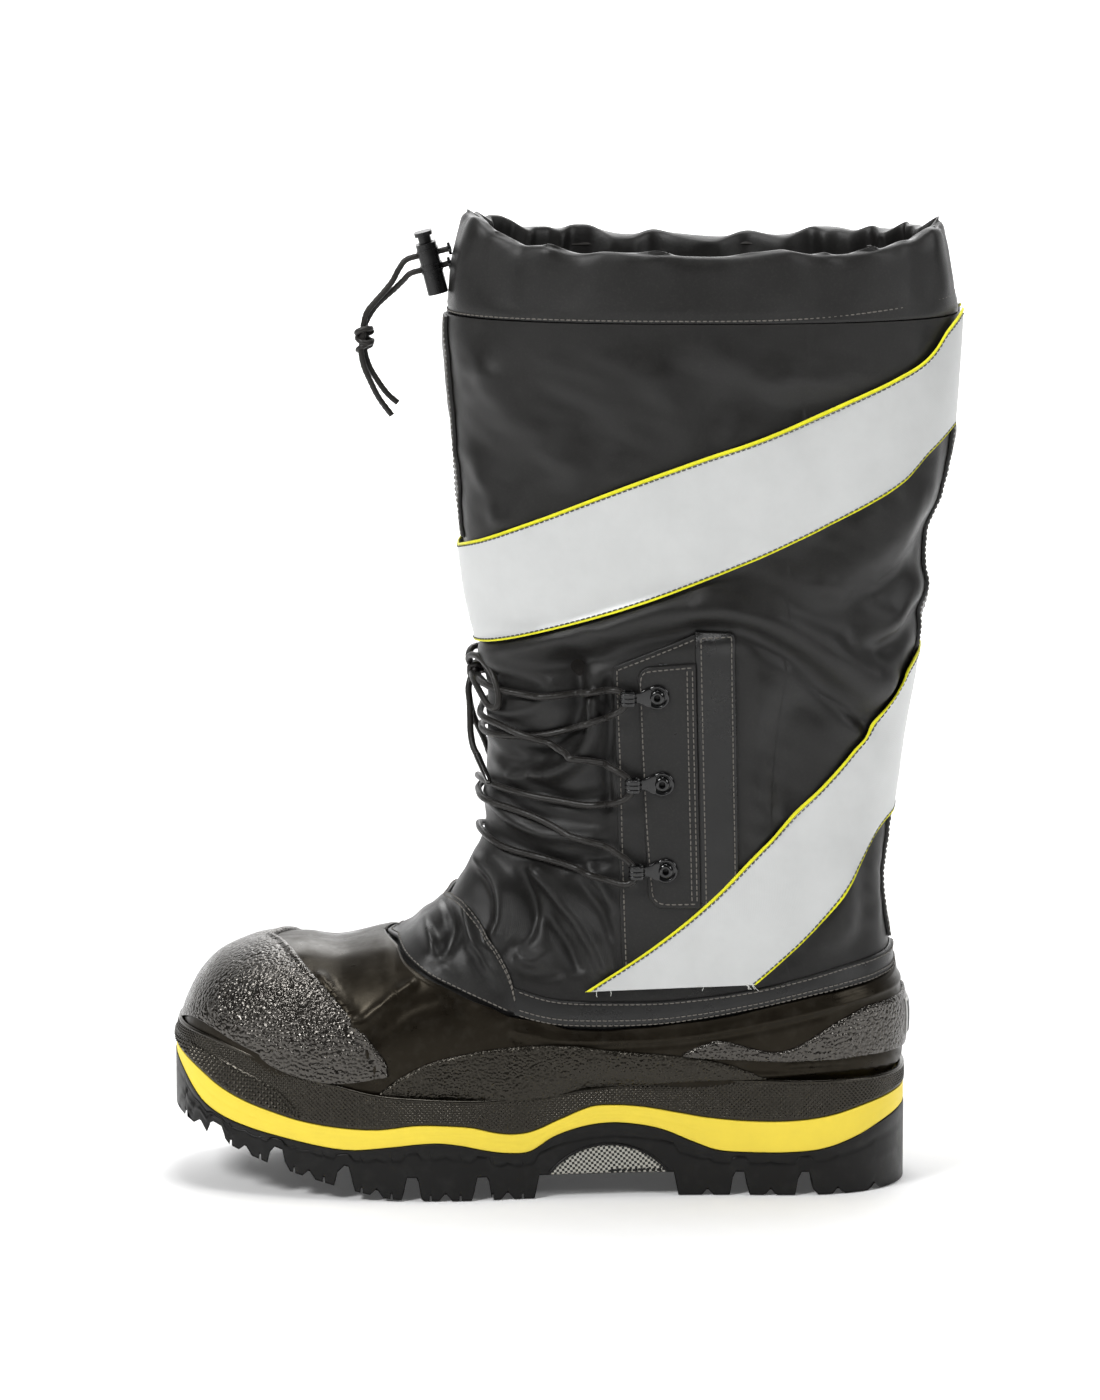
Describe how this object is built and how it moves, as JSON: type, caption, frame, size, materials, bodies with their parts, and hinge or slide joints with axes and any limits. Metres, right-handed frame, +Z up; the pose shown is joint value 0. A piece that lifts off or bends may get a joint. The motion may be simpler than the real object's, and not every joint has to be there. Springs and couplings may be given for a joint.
{
  "type": "insulated safety boot",
  "caption": "Tall insulated safety boot for the left foot: rubber lower, lugged sole, fabric shaft with reflective bands, side lacing and a corded snow collar.",
  "frame": {"origin": "on the ground, under the middle of the boot's length and width", "axes": "+Z up, the toe points to -X, the outer (lateral) side faces -Y, as worn on the left foot"},
  "size_m": [0.3384, 0.1177, 0.417],
  "materials": {
    "outsole_rubber": "matte",
    "midsole_yellow": "matte",
    "arch_mesh": "matte",
    "plate_steel": "satin",
    "fibre_board": "matte",
    "shell_rubber": "satin",
    "panel_rubber": "satin",
    "label": "satin",
    "cap_steel": "satin",
    "shaft_fabric": "matte",
    "patch_fabric": "matte",
    "webbing": "matte",
    "black_hardware": "gloss",
    "rivet_metal": "satin",
    "lace": "matte",
    "lace_tip": "gloss",
    "collar_fabric": "matte",
    "lock_plastic": "gloss",
    "spring_steel": "satin",
    "reflective_tape": "satin",
    "bright_edging": "matte",
    "felt": "matte",
    "cuff_binding": "matte",
    "footbed_foam": "matte"
  },
  "bodies": {
    "boot": {"outsole": "outsole_rubber", "midsole": "midsole_yellow", "arch_insert_lateral": "arch_mesh", "arch_insert_medial": "arch_mesh", "puncture_plate": "plate_steel", "insole_board": "fibre_board", "rubber_shell": "shell_rubber", "foxing_strip": "shell_rubber", "toe_guard": "shell_rubber", "toe_bumper": "panel_rubber", "side_panel_lateral": "panel_rubber", "side_panel_medial": "panel_rubber", "heel_counter_panel": "panel_rubber", "heel_label": "label", "safety_toe_cap": "cap_steel", "quarter_lateral": "shaft_fabric", "quarter_medial": "shaft_fabric", "vamp_tab": "patch_fabric", "shell_binding": "patch_fabric", "front_strip": "patch_fabric", "back_strip": "patch_fabric", "ankle_panel_lateral": "patch_fabric", "ankle_panel_medial": "patch_fabric", "ankle_strip_lateral": "webbing", "ankle_strip_medial": "webbing", "lace_stay_lateral": "patch_fabric", "lace_stay_medial": "patch_fabric", "lace_loops_lateral": "black_hardware", "lace_loops_medial": "black_hardware", "rivets": "rivet_metal", "boot_lace": "lace", "lace_knot": "lace", "lace_bow_lateral": "lace", "lace_bow_medial": "lace", "lace_tail_lateral": "lace", "lace_tail_medial": "lace", "lace_tips": "lace_tip", "snow_collar": "collar_fabric", "collar_grommets": "black_hardware", "drawcord": "lace", "drawcord_end_upper": "lace", "drawcord_end_lower": "lace", "drawcord_knot": "lace", "reflective_band_upper": "reflective_tape", "reflective_band_lower": "reflective_tape", "band_edging_upper": "bright_edging", "band_edging_lower": "bright_edging", "inner_boot": "felt", "inner_boot_cuff": "cuff_binding", "inner_boot_pull_loop": "cuff_binding", "footbed": "footbed_foam"},
    "cord_lock": {"cord_lock_body": "lock_plastic", "cord_lock_spring": "spring_steel"},
    "cord_lock_button": {"cord_lock_button": "lock_plastic"}
  },
  "joints": [
    {"name": "cord_lock_slide", "type": "slide", "parent": "boot", "child": "cord_lock", "axis": [-0.9703, 0, -0.2419], "range_m": [0, 0.004]},
    {"name": "button_press", "type": "slide", "parent": "cord_lock", "child": "cord_lock_button", "axis": [0.2419, 0, -0.9703], "range_m": [0, 0.003], "stiffness_N_per_m": 800, "springref_m": -0.0005, "deforming": ["cord_lock_spring"]}
  ]
}
